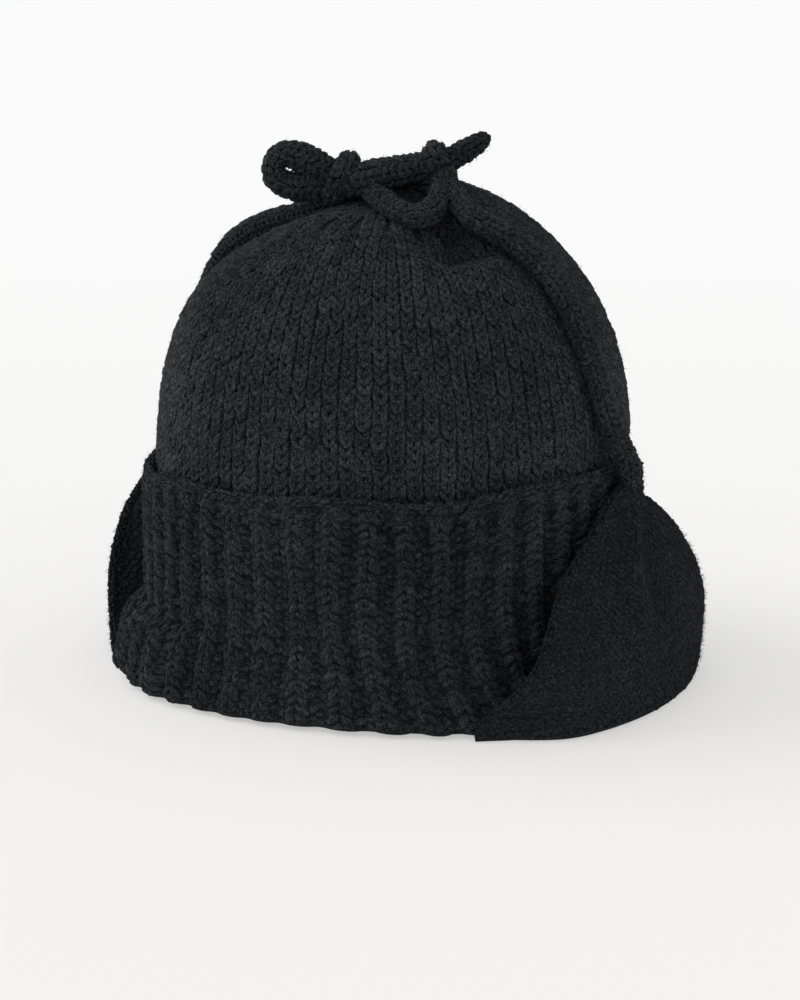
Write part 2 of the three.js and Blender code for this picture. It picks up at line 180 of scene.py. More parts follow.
def woolMaterial(slot, tone):
    material = bpy.data.materials.new(slot + "_wool")
    material.use_nodes = True
    tree = material.node_tree
    shader = tree.nodes["Principled BSDF"]
    yarn = addNode(tree, "ShaderNodeAttribute", attribute_name="yarn")
    split = addNode(tree, "ShaderNodeSeparateXYZ", {"Vector": yarn.outputs["Vector"]})
    along, around, chance = (split.outputs[axis] for axis in "XYZ")
    # the ply wave bumps the yarn and, through its tone share, paints the ply crests lighter and the grooves between
    # plies darker, as painted shade
    turned = addMath(tree, "MULTIPLY", along, wool["twist"])
    phase = addMath(tree, "MULTIPLY_ADD", around, wool["plies"], turned)
    wave = addMath(tree, "SINE", phase)
    ply = addNode(tree, "ShaderNodeMapRange", {"Value": wave, "From Min": -1.0, "From Max": 1.0})

    # Fibres run along the plies; their light flecks are partly painted glints of fibres catching light, partly random
    # tone
    places = [
        addMath(tree, "MULTIPLY", socket, rate) for socket, rate in zip((phase, along, chance), wool["fibreRates"])
    ]
    strand = addNode(tree, "ShaderNodeCombineXYZ", dict(enumerate(places)))
    fibres = addNode(
        tree,
        "ShaderNodeTexNoise",
        {"Vector": strand.outputs[0], "Scale": wool["fibreScale"], "Detail": 4.0, "Roughness": 0.65},
    )
    place = addNode(tree, "ShaderNodeTexCoord")
    # fine noise whose light specks are partly painted glints of fibres catching light
    halo = addNode(
        tree,
        "ShaderNodeTexNoise",
        {"Vector": place.outputs["Object"], "Scale": wool["haloScale"], "Detail": 2.0, "Roughness": 0.55},
    )
    patches = addNode(
        tree, "ShaderNodeTexNoise", {"Vector": place.outputs["Object"], "Scale": wool["patchScale"], "Detail": 2.0}
    )

    # Tone: ply crests, single fibres, the top of the yarn, each stitch and slow patches. The ply crests and the top
    # of the yarn are painted highlight, with painted shade below them, and the fibre flecks are partly painted glints
    sources = {
        "ply": ply.outputs[0],
        "fibres": fibres.outputs[0],
        "halo": halo.outputs[0],
        # painted highlight and painted shade: the top of the yarn lighter, its underside darker
        "crest": addMath(tree, "COSINE", around),
        "stitch": chance,
        "patches": patches.outputs[0],
    }
    total = wool["toneShift"]
    for source, share in wool["toneShares"].items():
        total = addMath(tree, "MULTIPLY_ADD", sources[source], share, total)
    held = addNode(tree, "ShaderNodeClamp", {"Value": total})
    # the power leaves dark wool with light flecks, partly painted glints
    glintFleck = addMath(tree, "POWER", held.outputs[0], wool["glintFleck"])
    colour = addNode(
        tree,
        "ShaderNodeMix",
        {"Factor": glintFleck, "A": (*tone["dark"], 1), "B": (*tone["light"], 1)},
        data_type="RGBA",
    )
    tree.links.new(colour.outputs["Result"], shader.inputs["Base Color"])

    # Each bump lies on the one before it
    below = {}
    for node, relief in ((ply, "plyBump"), (fibres, "fibreBump"), (halo, "haloBump")):
        strength, depth = wool[relief]
        inputs = {"Height": node.outputs[0], "Strength": strength, "Distance": depth, **below}
        below = {"Normal": addNode(tree, "ShaderNodeBump", inputs).outputs[0]}
    tree.links.new(below["Normal"], shader.inputs["Normal"])
    shader.inputs["Roughness"].default_value = wool["roughness"]
    shader.inputs["Specular IOR Level"].default_value = wool["specular"]
    shader.inputs["Sheen Weight"].default_value = wool["sheen"] * tone["sheen"]
    shader.inputs["Sheen Roughness"].default_value = wool["sheenRoughness"]
    shader.inputs["Sheen Tint"].default_value = wool["sheenTint"]
    return material


woolMaterials = {slot: woolMaterial(slot, tone) for slot, tone in woolTones.items()}
print("wool made")


# Meshes: parts are (points, faces, yarn) with yarn = along, around and a chance value for each stitch
def addMesh(name, parts, slot):
    points = []
    faces = []
    yarn = []
    count = 0
    for partPoints, partFaces, partYarn in parts:
        points.append(partPoints.reshape(-1, 3))
        yarn.append(partYarn.reshape(-1, 3))
        for block in partFaces:
            faces.extend((block + count).tolist())
        count += points[-1].shape[0]
    points = (np.concatenate(points) + np.array([*axisPlace, 0])) / 1000
    mesh = bpy.data.meshes.new(name)
    mesh.from_pydata(points.tolist(), [], faces)
    attribute = mesh.attributes.new("yarn", "FLOAT_VECTOR", "POINT")
    attribute.data.foreach_set("vector", np.concatenate(yarn).astype(np.float32).ravel())
    mesh.polygons.foreach_set("use_smooth", np.ones(len(mesh.polygons), bool))
    mesh.materials.append(woolMaterials[slot])
    mesh.validate()
    piece = bpy.data.objects.new(name, mesh)
    bpy.context.scene.collection.objects.link(piece)
    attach(piece, "root")
    triangles = sum(len(face) - 2 for face in faces)
    print(f"{name}: {triangles} triangles")
    return piece


def skin(grid, closeEnds=False, loop=False):
    # walls between closed rings of points: grid is rings x points x 3
    rings, count = grid.shape[:2]
    index = np.arange(rings * count).reshape(rings, count)
    if loop:
        index = np.vstack([index, index[:1]])
    index = np.hstack([index, index[:, :1]])
    quads = np.stack([index[:-1, :-1], index[:-1, 1:], index[1:, 1:], index[1:, :-1]], -1).reshape(-1, 4)
    blocks = [quads]
    if closeEnds:
        blocks.append(index[0, :count][::-1][None])
        blocks.append(index[-1, :count][None])
    return blocks


def facesOut(points, blocks):
    # turns the faces of a closed form round if its signed volume is negative
    flat = points.reshape(-1, 3)
    quads = blocks[0]
    a, b, c, d = (flat[quads[:, k]] for k in range(4))
    volume = (np.cross(a, b) * c).sum() + (np.cross(a, c) * d).sum()
    return blocks if volume > 0 else [block[:, ::-1] for block in blocks]


# Stitch tiles: a grain of yarn shaped from a sphere, lying along Y, with the cloth's face toward +Z
leg = {"sides": 6, "rings": 4, "pair": True}
bump = {"sides": 6, "rings": 3, "pair": False, "roll": 0, "tilt": 0, "place": (0, 0, 0)}


def makeGrain(name, grain):
    clearSelection()
    bpy.ops.mesh.primitive_uv_sphere_add(segments=grain["sides"], ring_count=grain["rings"], radius=1)
    piece = bpy.context.object
    piece.name = name
    bpy.ops.object.mode_set(mode="EDIT")
    bpy.ops.mesh.select_all(action="SELECT")
    bpy.ops.transform.rotate(value=math.pi / 2, orient_axis="X", center_override=(0, 0, 0))
    bpy.ops.object.mode_set(mode="OBJECT")
    co = np.array([v.co for v in piece.data.vertices])
    around = np.arctan2(co[:, 0], co[:, 2])
    along = co[:, 1] * grain["length"] / 2
    attribute = piece.data.attributes.new("yarn", "FLOAT_VECTOR", "POINT")
    attribute.data.foreach_set("vector", np.stack([along, around, 0 * along], -1).astype(np.float32).ravel())
    bpy.ops.object.mode_set(mode="EDIT")
    bpy.ops.mesh.select_all(action="SELECT")
    size = (grain["width"] / 2, grain["length"] / 2, grain["thick"] / 2)
    bpy.ops.transform.resize(value=size, center_override=(0, 0, 0))
    for axis, turn in (("Y", grain["roll"]), ("X", grain["tilt"]), ("Z", grain["lean"])):
        # with no window this operator turns the other way
        bpy.ops.transform.rotate(value=-math.radians(turn), orient_axis=axis, center_override=(0, 0, 0))
    bpy.ops.transform.translate(value=grain["place"])
    bpy.ops.object.mode_set(mode="OBJECT")
    if grain["pair"]:
        mirror = piece.modifiers.new("other leg", "MIRROR")
        mirror.use_mirror_merge = False
        bpy.ops.object.modifier_apply(modifier=mirror.name)
    return piece


def makeTile(name, grain, width, row):
    piece = makeGrain(name, grain)
    mesh = piece.data
    points = np.array([v.co for v in mesh.vertices])
    yarn = np.zeros(len(points) * 3, np.float32)
    mesh.attributes["yarn"].data.foreach_get("vector", yarn)
    byCount = {}
    # sorted, because the mirror gives its faces in any order
    for corners in sorted(list(face.vertices) for face in mesh.polygons):
        byCount.setdefault(len(corners), []).append(corners)
    tile = {
        "points": points,
        "yarn": yarn.reshape(-1, 3),
        "faces": [np.array(faces) for faces in byCount.values()],
        "width": width,
        "row": row,
    }
    bpy.data.objects.remove(piece)
    return tile


fibre = {
    "rise": 1.4,
    "stand": 0.55,
    "shortest": 0.9,
    "longest": 2.4,
    "thickness": 0.075,
    # painted highlight: the loose fibres' lightest tone
    "paintedLightest": 2.5,
}


def knit(tile, cells, where, looseness, seed):
    # one copy of the tile for each cell; where(cells, x, y) gives points and outward directions
    draw = np.random.default_rng(seed)
    count = len(cells["col"])
    size = 1 + looseness["size"] * draw.normal(size=(count, 1))
    slide = looseness["slide"] * draw.normal(size=(2, count, 1))
    lift = looseness["lift"] * draw.normal(size=(count, 1))
    spin = np.radians(looseness["turn"]) * draw.normal(size=(count, 1))
    lump = looseness["lump"] * draw.normal(size=(3, count, len(tile["points"])))
    chance = draw.random((count, 1))
    flat = tile["points"][None] * size[..., None]
    x = flat[..., 0] * np.cos(spin) - flat[..., 1] * np.sin(spin) + slide[0] + lump[0]
    y = flat[..., 0] * np.sin(spin) + flat[..., 1] * np.cos(spin) + slide[1] + lump[1]
    h = flat[..., 2] + lift + lump[2]
    points, normals = where(cells, x, y)
    points = points + normals * h[..., None]
    yarn = np.broadcast_to(tile["yarn"], (count, *tile["yarn"].shape)).copy()
    yarn[..., 2] = chance
    offsets = np.arange(count)[:, None, None] * len(tile["points"])
    faces = [(block[None] + offsets).reshape(-1, block.shape[1]) for block in tile["faces"]]
    return points, faces, yarn


def pick(cells, keep):
    return {name: values[keep] for name, values in cells.items()}


def fuzz(tile, cells, where, count, seed):
    # loose fibres: thin closed needles that start at the top of the yarn
    draw = np.random.default_rng(seed)
    chosen = pick(cells, draw.integers(len(cells["col"]), size=count))
    x = draw.uniform(-0.5, 0.5, (count, 1)) * tile["width"]
    y = draw.uniform(-0.5, 0.5, (count, 1)) * tile["row"]
    root, out = (part[:, 0] for part in where(chosen, x, y))
    root = root + out * draw.uniform(0.3, fibre["rise"], (count, 1))
    heading = unit(unit(draw.normal(size=(count, 3))) + out * fibre["stand"])
    length = draw.uniform(fibre["shortest"], fibre["longest"], (count, 1))
    side = unit(np.cross(heading, out + 0.01))
    other = np.cross(heading, side)
    turns = np.radians([0, 120, 240])
    ring = side[:, None] * np.cos(turns)[None, :, None] + other[:, None] * np.sin(turns)[None, :, None]
    foot = root[:, None] + ring * fibre["thickness"]
    points = np.concatenate([foot, (root + heading * length)[:, None]], 1)
    corners = np.array([(0, 2, 1), (0, 1, 3), (1, 2, 3), (2, 0, 3)])
    faces = [(corners[None] + np.arange(count)[:, None, None] * 4).reshape(-1, 3)]
    yarn = np.zeros_like(points)
    yarn[..., 0] = draw.uniform(0, 90, (count, 1))
    # loose fibres are given a lighter tone than the yarn, as painted highlight of fibres catching light
    yarn[..., 2] = draw.uniform(0.5, fibre["paintedLightest"], (count, 1))
    return points, faces, yarn


def shadedPlainYarn(points, depth=2.0):
    # walls carry the same attribute; depth is how far round the yarn's underside their tone lies, which paints them
    # darker, as painted shade in the gaps between the stitches
    yarn = np.zeros_like(points)
    yarn[..., 0] = points[..., 2]
    yarn[..., 1] = depth
    yarn[..., 2] = 0.3
    return yarn


# Crown: the forms repeat the frame's crown
crown = {
    "halfWidth": 90.4,
    "halfDepth": 94,
    "springHeight": 86,
    "domeHeight": 100,
    "roundness": 2.25,
    "leanAcross": -1.6,
    "leanClimb": 50,
    "reliefCentre": 70,
    # across, toward the front, spread, depth
    "relief": [
        (-38, -10, 23, 12), (2, 28, 20, 3), (28, -12, 16, -2.5), (21, 48, 10, 7.5), (37, 60, 8, -2.5),
        (-24, 2, 9, -2.5), (23, 35, 5, 5.5), (2, -4, 13, -3.2), (9, 24, 7, 8),
        (-38, -8, 3.2, 3), (-44, -12.5, 3.2, 3.2), (-50, -17, 3.2, 3.2), (-56, -22, 3.2, 3.2), (-62, -27, 3.2, 3),
        (-40, 6, 5, -1.5), (-48, 0, 5, -1.8), (-56, -7, 5, -1.5),
        (16, 51.5, 3.4, 1.8), (21, 52, 3.4, 2.2), (25.5, 51, 3.4, 2.2), (29.5, 49, 3.4, 2.2), (33, 46, 3.4, 1.8),
        (24, 57.5, 4.5, -2.2), (30, 55, 4.5, -2.6), (35.5, 50.5, 4.5, -2.6),
    ],
    "sectors": 24,
    "sectorStitches": 4,
    "narrowest": 4.5,
    "rowHeight": 3.25,
    "lowestRow": 75,
    "drift": 0.35,
    "leastWeight": 0.42,  # a column narrower than this share of a stitch has ended
    "crest": 1.25,  # how far the middle of the yarn lies under the frame's outer face
    "wallInset": 1.5,
    "hiddenInset": 0.2,
    "hiddenBelow": -8,
    "fuzz": 12000,
    "looseness": {"size": 0.07, "slide": 0.22, "lift": 0.12, "turn": 4.5, "lump": 0.12},
}
# angle, radius of the foot, height of the top
cuffTable = [
    (-180, 105.4, 86), (-155, 105.6, 80), (-136, 108.6, 80), (-124, 109.6, 81.5), (-110, 108, 83), (-78, 102.5, 85),
    (-59, 105.8, 84), (-44, 110.4, 84.6), (-18, 107.9, 87.6), (0, 106.3, 86.8), (28, 107.9, 80), (44, 109.9, 80),
    (78, 103.3, 84), (110, 105.4, 83), (135, 106.4, 81), (180, 105.4, 86),
]
flareHeight = 31
flarePower = 1.8
# The cuff bulges in front of the left flap
belly = {"depth": 12, "from": (-90, -120), "to": (-165, -150), "top": 27.5, "climb": 2.4, "fall": 0.55}


def crownRadius(degrees):
    a = np.radians(degrees)
    return 1 / np.hypot(np.cos(a) / crown["halfWidth"], np.sin(a) / crown["halfDepth"])


def flaredRadius(degrees, height):
    body = crownRadius(degrees) + gap + cuffWall
    low = np.maximum(0, 1 - height / flareHeight)
    return body + (readTable(cuffTable, 1, wrapAngle(degrees)) - body) * low ** flarePower


def cuffRadius(degrees, height):
    body = crownRadius(degrees) + gap + cuffWall
    a = wrapAngle(degrees)
    swell = belly["depth"] * smooth(*belly["from"], a) * smooth(*belly["to"], a)
    swell = swell * (1 - np.clip(height / belly["top"], 0, 1) ** belly["climb"]) ** belly["fall"]
    return np.maximum(flaredRadius(degrees, height), body + swell)


def reliefAt(x, y):
    across = x * math.cos(bowTurn) + y * math.sin(bowTurn)
    toward = x * math.sin(bowTurn) - y * math.cos(bowTurn)
    total = 0
    for rowAcross, rowToward, spread, depth in crown["relief"]:
        total = total + depth * np.exp(-0.5 * ((across - rowAcross) ** 2 + (toward - rowToward) ** 2) / spread ** 2)
    return total


def domePoint(degrees, climb, inset):
    power = 2 / crown["roundness"]
    c = np.radians(climb)
    radius = (crownRadius(degrees) - inset) * np.maximum(0, np.cos(c)) ** power
    height = crown["springHeight"] + (crown["domeHeight"] - inset) * np.maximum(0, np.sin(c)) ** power
    point = polar(degrees, radius, height)
    lean = crown["leanAcross"] * smooth(0, crown["leanClimb"], climb)
    point[..., 0] += lean * math.cos(bowTurn)
    point[..., 1] += lean * math.sin(bowTurn)
    inward = unit(np.array([0, 0, crown["reliefCentre"]]) - point)
    depth = reliefAt(point[..., 0], point[..., 1]) * smooth(0, 9, climb)
    return point + inward * depth[..., None]


# Length up a mean meridian of the dome, against the climb in degrees
climbTable = np.concatenate([np.linspace(0, 2, 60), np.linspace(2.02, 90, 900)])
meanRadius = (crown["halfWidth"] + crown["halfDepth"]) / 2
meridian = np.stack(
    [
        meanRadius * np.cos(np.radians(climbTable)).clip(0) ** (2 / crown["roundness"]),
        crown["domeHeight"] * np.sin(np.radians(climbTable)) ** (2 / crown["roundness"]),
    ],
    -1,
)
meridianLength = np.concatenate([[0], np.cumsum(np.linalg.norm(np.diff(meridian, axis=0), axis=1))])


def crownForm(degrees, t, inset=0.0):
    # t is the length up the cloth from the dome's spring; below it the wall is straight
    climb = np.interp(t, meridianLength, climbTable)
    dome = domePoint(degrees, climb, inset)
    z = crown["springHeight"] + np.minimum(t, 0)
    wall = polar(degrees, cuffRadius(degrees, z) - cuffWall - gap - inset, z)
    return np.where((t >= 0)[..., None], dome, wall)


def crownFace(degrees, t):
    return crownForm(degrees, t, crown["crest"])


def sectorCount(t):
    # stitches in each sector: all of them at first, then fewer as the dome narrows
    radius = np.interp(t, meridianLength, meridian[:, 0])
    wide = 2 * math.pi * radius / crown["sectors"] / crown["narrowest"]
    return np.clip(wide, 0.8, crown["sectorStitches"])


crownTile = makeTile(
    "crown_stitch",
    {**leg, "width": 2.7, "length": 6.2, "thick": 2.8, "roll": 10, "tilt": -10, "lean": -26, "place": (1.42, 0, 0)},
    6.0,
    crown["rowHeight"],
)


def crownCells():
    half = crown["sectorStitches"] / 2
    cols, rows, weights, sectors = [], [], [], []
    t = crown["lowestRow"] - crown["springHeight"]
    while t < meridianLength[-1] - 2.2:
        count = float(sectorCount(np.array(t)))
        for sector in range(crown["sectors"]):
            for k in range(crown["sectorStitches"]):
                offset = k + 0.5 - half
                inner = abs(offset) - 0.5
                weight = min(1.0, count / 2 - inner)
                if weight > crown["leastWeight"]:
                    cols.append(math.copysign(inner + weight / 2, offset))
                    rows.append(t)
                    weights.append(weight)
                    sectors.append(sector)
        t += crown["rowHeight"]
    return {"col": np.array(cols), "row": np.array(rows), "weight": np.array(weights), "sector": np.array(sectors)}


def crownPlace(cells, x, y):
    t = cells["row"][:, None] + y
    drift = crown["drift"] * np.sin(t * 0.11 + cells["sector"][:, None] * 2.1 + cells["col"][:, None] * 0.5)
    share = (cells["col"][:, None] + (x + drift) / crownTile["width"] * cells["weight"][:, None]) / sectorCount(t)
    degrees = (cells["sector"][:, None] + 0.5 + share) * 360 / crown["sectors"] - 180
    return surfaceFrame(crownFace, degrees, t)


def peakCells(step):
    # rings of stitches where the sectors have run out
    cols, rows = [], []
    t = meridianLength[-1] - 1.5
    while float(sectorCount(np.array(t))) < 0.86:
        radius = float(np.interp(t, meridianLength, meridian[:, 0]))
        count = max(4, round(2 * math.pi * radius / step))
        cols.extend((k + 0.5 * (len(rows) % 2)) * 360 / count for k in range(count))
        rows.extend([t] * count)
        t -= 2.6
    return {"col": np.array(cols), "row": np.array(rows)}


def peakPlace(cells, x, y):
    t = np.minimum(cells["row"][:, None] + y, meridianLength[-1] - 0.6)
    radius = np.maximum(np.interp(t, meridianLength, meridian[:, 0]), 2.5)
    degrees = cells["col"][:, None] + np.degrees(0.7 * x / radius)
    return surfaceFrame(crownFace, degrees, t, dv=0.3)


def buildCrown():
    looseness = crown["looseness"]
    cells = crownCells()
    low = cells["row"] < np.median(cells["row"])
    side = knit(crownTile, pick(cells, low), crownPlace, looseness, 11)
    top = knit(crownTile, pick(cells, ~low), crownPlace, looseness, 12)
    peak = knit(crownTile, peakCells(3.9), peakPlace, looseness, 14)
    degrees = np.linspace(-180, 180, 160, endpoint=False)
    lengths = np.linspace(5.4 - crown["springHeight"], meridianLength[-1] - 0.3, 80)
    around, up = np.meshgrid(degrees, lengths)
    hidden = lengths < crown["hiddenBelow"]
    outside = crownForm(around, up, crown["wallInset"])
    outside[hidden] = crownForm(around[hidden], up[hidden], crown["hiddenInset"])
    wall = np.concatenate([outside, crownForm(around, up[::-1], crownWall)])
    blocks = facesOut(wall, skin(wall, loop=True))
    pieces = [
        addMesh("crown_side_stitches", [side], "crown_knit"),
        addMesh("crown_top_stitches", [top, peak], "crown_knit"),
        addMesh("crown_wall", [(wall, blocks, shadedPlainYarn(wall))], "crown_knit"),
        addMesh("crown_fuzz", [fuzz(crownTile, cells, crownPlace, crown["fuzz"], 13)], "crown_knit"),
    ]
    for piece in pieces:
        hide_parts("crown")


buildCrown()


# Cuff: rows run parallel to its rolled top edge, down the face and under the fold
cuff = {
    "meanRadius": 99,
    "ribs": 48,
    "rowHeight": 3.1,
    "roll": 2.5,
    "fold": 3.0,
    "underRun": 6.5,
    "waveCount": 9,
    "waveHeight": 0.8,
    "knitMiddle": 0.39,
    "purlMiddles": [0.785, 0.995],
    "crest": 1.25,
    "footSink": 1.5,
    "relief": 1.15,
    "crestHeight": 0.45,
    "grooveDepth": 2,
    "grooveWidth": 1.7,
    "deepest": 2.9,
    "heaveTop": (0, 12),
    "heaveFoot": (-3, 8),
    # the ribs near the root of the right flap stand out more and turn toward it at the foot
    "pullFrom": (-84, -56),
    "pullTo": (-6, -18),
    "pull": 12,
    "pullHeight": 46,
    "heave": 2.0,
    "leftFrom": (-92, -116),
    "leftTo": (-172, -158),
    "leftRelief": 1.1,
    "wander": 0.7,
    "wallInset": 1.1,
    "edgeCount": 184,
    "fuzz": 9000,
    "edgeFuzz": 2000,
    "fuzzEnd": 78,
    "looseness": {"size": 0.09, "slide": 0.28, "lift": 0.12, "turn": 8, "lump": 0.16},
    "edgeLooseness": {"size": 0.14, "slide": 0.36, "lift": 0.16, "turn": 16, "lump": 0.16},
    "purlLooseness": {"size": 0.14, "slide": 0.36, "lift": 0.16, "turn": 24, "lump": 0.16},
    # height, depth under the face
    "innerRows": [(0, 9.4), (5, 9.4), (5, 5.0), (20, 5.0), (31, 5.0), (45, 5.0), (60, 5.0)],
}


def cuffTop(degrees):
    wave = cuff["waveHeight"] * np.sin(np.radians(degrees * cuff["waveCount"]))
    return readTable(cuffTable, 2, wrapAngle(degrees)) + wave


def cuffRun(degrees):
    # length of the cloth from the top of the roll to the end of the hidden layer
    bends = (cuff["roll"] + cuff["fold"]) * (math.pi / 2 - 1)
    return cuffTop(degrees) + bends + cuff["underRun"]


def pullShare(degrees):
    a = wrapAngle(degrees)
    return smooth(*cuff["pullFrom"], a) * smooth(*cuff["pullTo"], a)


def cuffForm(degrees, down, inset=0.0):
    # down is the length along the cloth from the top of the roll, toward the outside
    roll = cuff["roll"]
    fold = cuff["fold"]
    top = cuffTop(degrees)
    quarter = roll * math.pi / 2
    straight = top - roll - fold
    turn = np.clip(down / roll, -math.pi / 2, math.pi / 2)
    z = top - roll + (roll - inset) * np.cos(turn) - np.clip(down - quarter, 0, straight)
    z = z - np.clip(-down - quarter, 0, 100)
    near = pullShare(degrees)
    wave = np.cos(np.radians((degrees + 180) * cuff["ribs"]) - 2 * math.pi * cuff["knitMiddle"])
    wave = cuff["crestHeight"] - cuff["grooveDepth"] * np.maximum(0, 0.5 - 0.5 * wave) ** cuff["grooveWidth"]
    a = wrapAngle(degrees)
    left = cuff["leftRelief"] * smooth(*cuff["leftFrom"], a) * smooth(*cuff["leftTo"], a)
    heave = np.maximum((cuff["relief"] + left + cuff["heave"] * near) * wave, -cuff["deepest"])
    heave = heave * smooth(*cuff["heaveTop"], down) * smooth(*cuff["heaveFoot"], z)
    depth = roll - (roll - inset) * np.sin(turn)
    under = np.clip(down - quarter - straight, 0, None)
    bend = np.clip(under / fold, 0, math.pi / 2)
    z = np.where(under > 0, fold - (fold - inset) * np.sin(bend), z)
    depth = np.where(under > 0, fold - (fold - inset) * np.cos(bend), depth)
    depth = depth + np.clip(under - fold * math.pi / 2, 0, None)
    low = np.maximum(0, 1 - np.maximum(z, 0) / cuff["pullHeight"]) ** 2
    wander = cuff["wander"] * np.sin(z * 0.09 + 2.6 * np.sin(np.radians(degrees * 5)))
    turned = degrees + np.degrees((near * low * cuff["pull"] + wander) / cuff["meanRadius"])
    return polar(turned, cuffRadius(turned, np.maximum(z, 0)) - depth + heave, z)


def cuffFace(degrees, down):
    # toward the foot the stitches sink, so that they stay above the floor
    sink = cuff["footSink"] * smooth(3, -3, cuffTop(degrees) - down)
    return cuffForm(degrees, down, cuff["crest"] + sink)


cuffKnitTile = makeTile(
    "rib_knit",
    {**leg, "width": 2.7, "length": 6.2, "thick": 2.4, "roll": 14, "tilt": -8, "lean": -36, "place": (1.85, 0, 0)},
    7.4,
    cuff["rowHeight"],
)
cuffPurlTile = makeTile(
    "rib_purl",
    {**bump, "width": 3.6, "length": 3.5, "thick": 1.9, "lean": 66},
    3.3,
    cuff["rowHeight"],
)
edgeTile = makeTile(
    "edge",
    {**bump, "width": 2.6, "length": 4.0, "thick": 2.6, "lean": 74},
    3.4,
    1.9,
)


def cuffCells(middle, firstRow, lastRow):
    rib, row = flatGrid(np.arange(cuff["ribs"]), np.arange(firstRow, lastRow))
    degrees = (rib + middle) * 360 / cuff["ribs"] - 180
    down = (row + 0.5) * cuff["rowHeight"]
    return pick({"col": degrees, "row": down}, down < cuffRun(degrees))


def cuffPlace(cells, x, y):
    down = cells["row"][:, None] + y
    degrees = cells["col"][:, None] + np.degrees(x / cuff["meanRadius"])
    return surfaceFrame(cuffFace, degrees, down, flip=-1)


def buildCuff():
    knitCells = cuffCells(cuff["knitMiddle"], 2, 32)
    purlSides = [cuffCells(middle, 2 + 0.5 * i, 32) for i, middle in enumerate(cuff["purlMiddles"])]
    purlCells = {name: np.concatenate([cells[name] for cells in purlSides]) for name in knitCells}
    # the rolled top shows rows of small bumps
    edgeCol, edgeRow = flatGrid(np.arange(cuff["edgeCount"]), np.arange(-1, 5))
    edgeCells = {
        "col": (edgeCol + 0.5 * (edgeRow % 2)) * 360 / cuff["edgeCount"] - 180,
        "row": 0.2 + edgeRow * edgeTile["row"],
    }
    parts = [
        knit(cuffKnitTile, knitCells, cuffPlace, cuff["looseness"], 21),
        knit(cuffPurlTile, purlCells, cuffPlace, cuff["purlLooseness"], 22),
        knit(edgeTile, edgeCells, cuffPlace, cuff["edgeLooseness"], 23),
    ]
    stitches = addMesh("cuff_stitches", parts, "cuff_rib")
    high = pick(knitCells, knitCells["row"] < cuff["fuzzEnd"])
    loose = [
        fuzz(cuffKnitTile, high, cuffPlace, cuff["fuzz"], 24),
        fuzz(edgeTile, edgeCells, cuffPlace, cuff["edgeFuzz"], 25),
    ]
    hairs = addMesh("cuff_fuzz", loose, "cuff_rib")
    degrees = np.linspace(-180, 180, 384, endpoint=False)
    around, step = np.meshgrid(degrees, np.linspace(0, 1, 40))
    rings = [cuffForm(around, step * cuffRun(degrees), cuff["wallInset"])]
    for z, depth in cuff["innerRows"]:
        height = np.full_like(degrees, z)
        rings.append(polar(degrees, cuffRadius(degrees, height) - depth, height)[None])
    nearTop = cuffTop(degrees) - 2.5
    rings.append(polar(degrees, cuffRadius(degrees, nearTop) - cuffWall, nearTop)[None])
    wall = np.concatenate(rings)
    blocks = facesOut(wall, skin(wall, loop=True))
    base = addMesh("cuff_wall", [(wall, blocks, shadedPlainYarn(wall))], "cuff_rib")
    for piece in (stitches, base, hairs):
        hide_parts("cuff")


buildCuff()


# Cords: a tube of knitted stitches along a smooth route
cordTile = makeTile(
    "cord_stitch",
    {**leg, "width": 2.75, "length": 4.8, "thick": 2.6, "roll": 14, "tilt": -12, "lean": -34, "place": (1.42, 0, 0)},
    5.8,
    2.7,
)
cord = {
    "columns": 5,
    "crest": 1.3,
    "coreDepth": 1.5,
    "coreStep": 2.5,
    "coreEnd": 0.4,
    "hairs": 8,  # for each millimetre
    "routeStep": 0.8,
    "looseness": {"size": 0.06, "slide": 0.16, "lift": 0.12, "turn": 4, "lump": 0.08},
}


def routeThrough(points):
    # evenly spaced points, and frames that don't twist, along a smooth curve through the points
    points = np.array(points, float)
    length = np.concatenate([[0], np.cumsum(np.linalg.norm(np.diff(points, axis=0), axis=1))])
    fine = np.linspace(0, length[-1], int(length[-1] / 0.25))
    table = [(s, *point) for s, point in zip(length, points)]
    curve = np.stack([readTable(table, axis, fine) for axis in (1, 2, 3)], -1)
    walked = np.concatenate([[0], np.cumsum(np.linalg.norm(np.diff(curve, axis=0), axis=1))])
    count = max(4, int(round(walked[-1] / cord["routeStep"])) + 1)
    even = np.linspace(0, walked[-1], count)
    centres = np.stack([np.interp(even, walked, curve[:, axis]) for axis in range(3)], -1)
    tangents = unit(np.gradient(centres, axis=0))
    start = np.cross(tangents[0], [0, 0, 1] if abs(tangents[0][2]) < 0.9 else [1, 0, 0])
    normals = [unit(start)]
    for tangent in tangents[1:]:
        kept = normals[-1] - tangent * normals[-1].dot(tangent)
        normals.append(unit(kept))
    normals = np.array(normals)
    return {"s": even, "centres": centres, "normals": normals, "sides": np.cross(tangents, normals)}


def alongRoute(route, s, key):
    return np.stack([np.interp(s, route["s"], route[key][:, axis]) for axis in range(3)], -1)


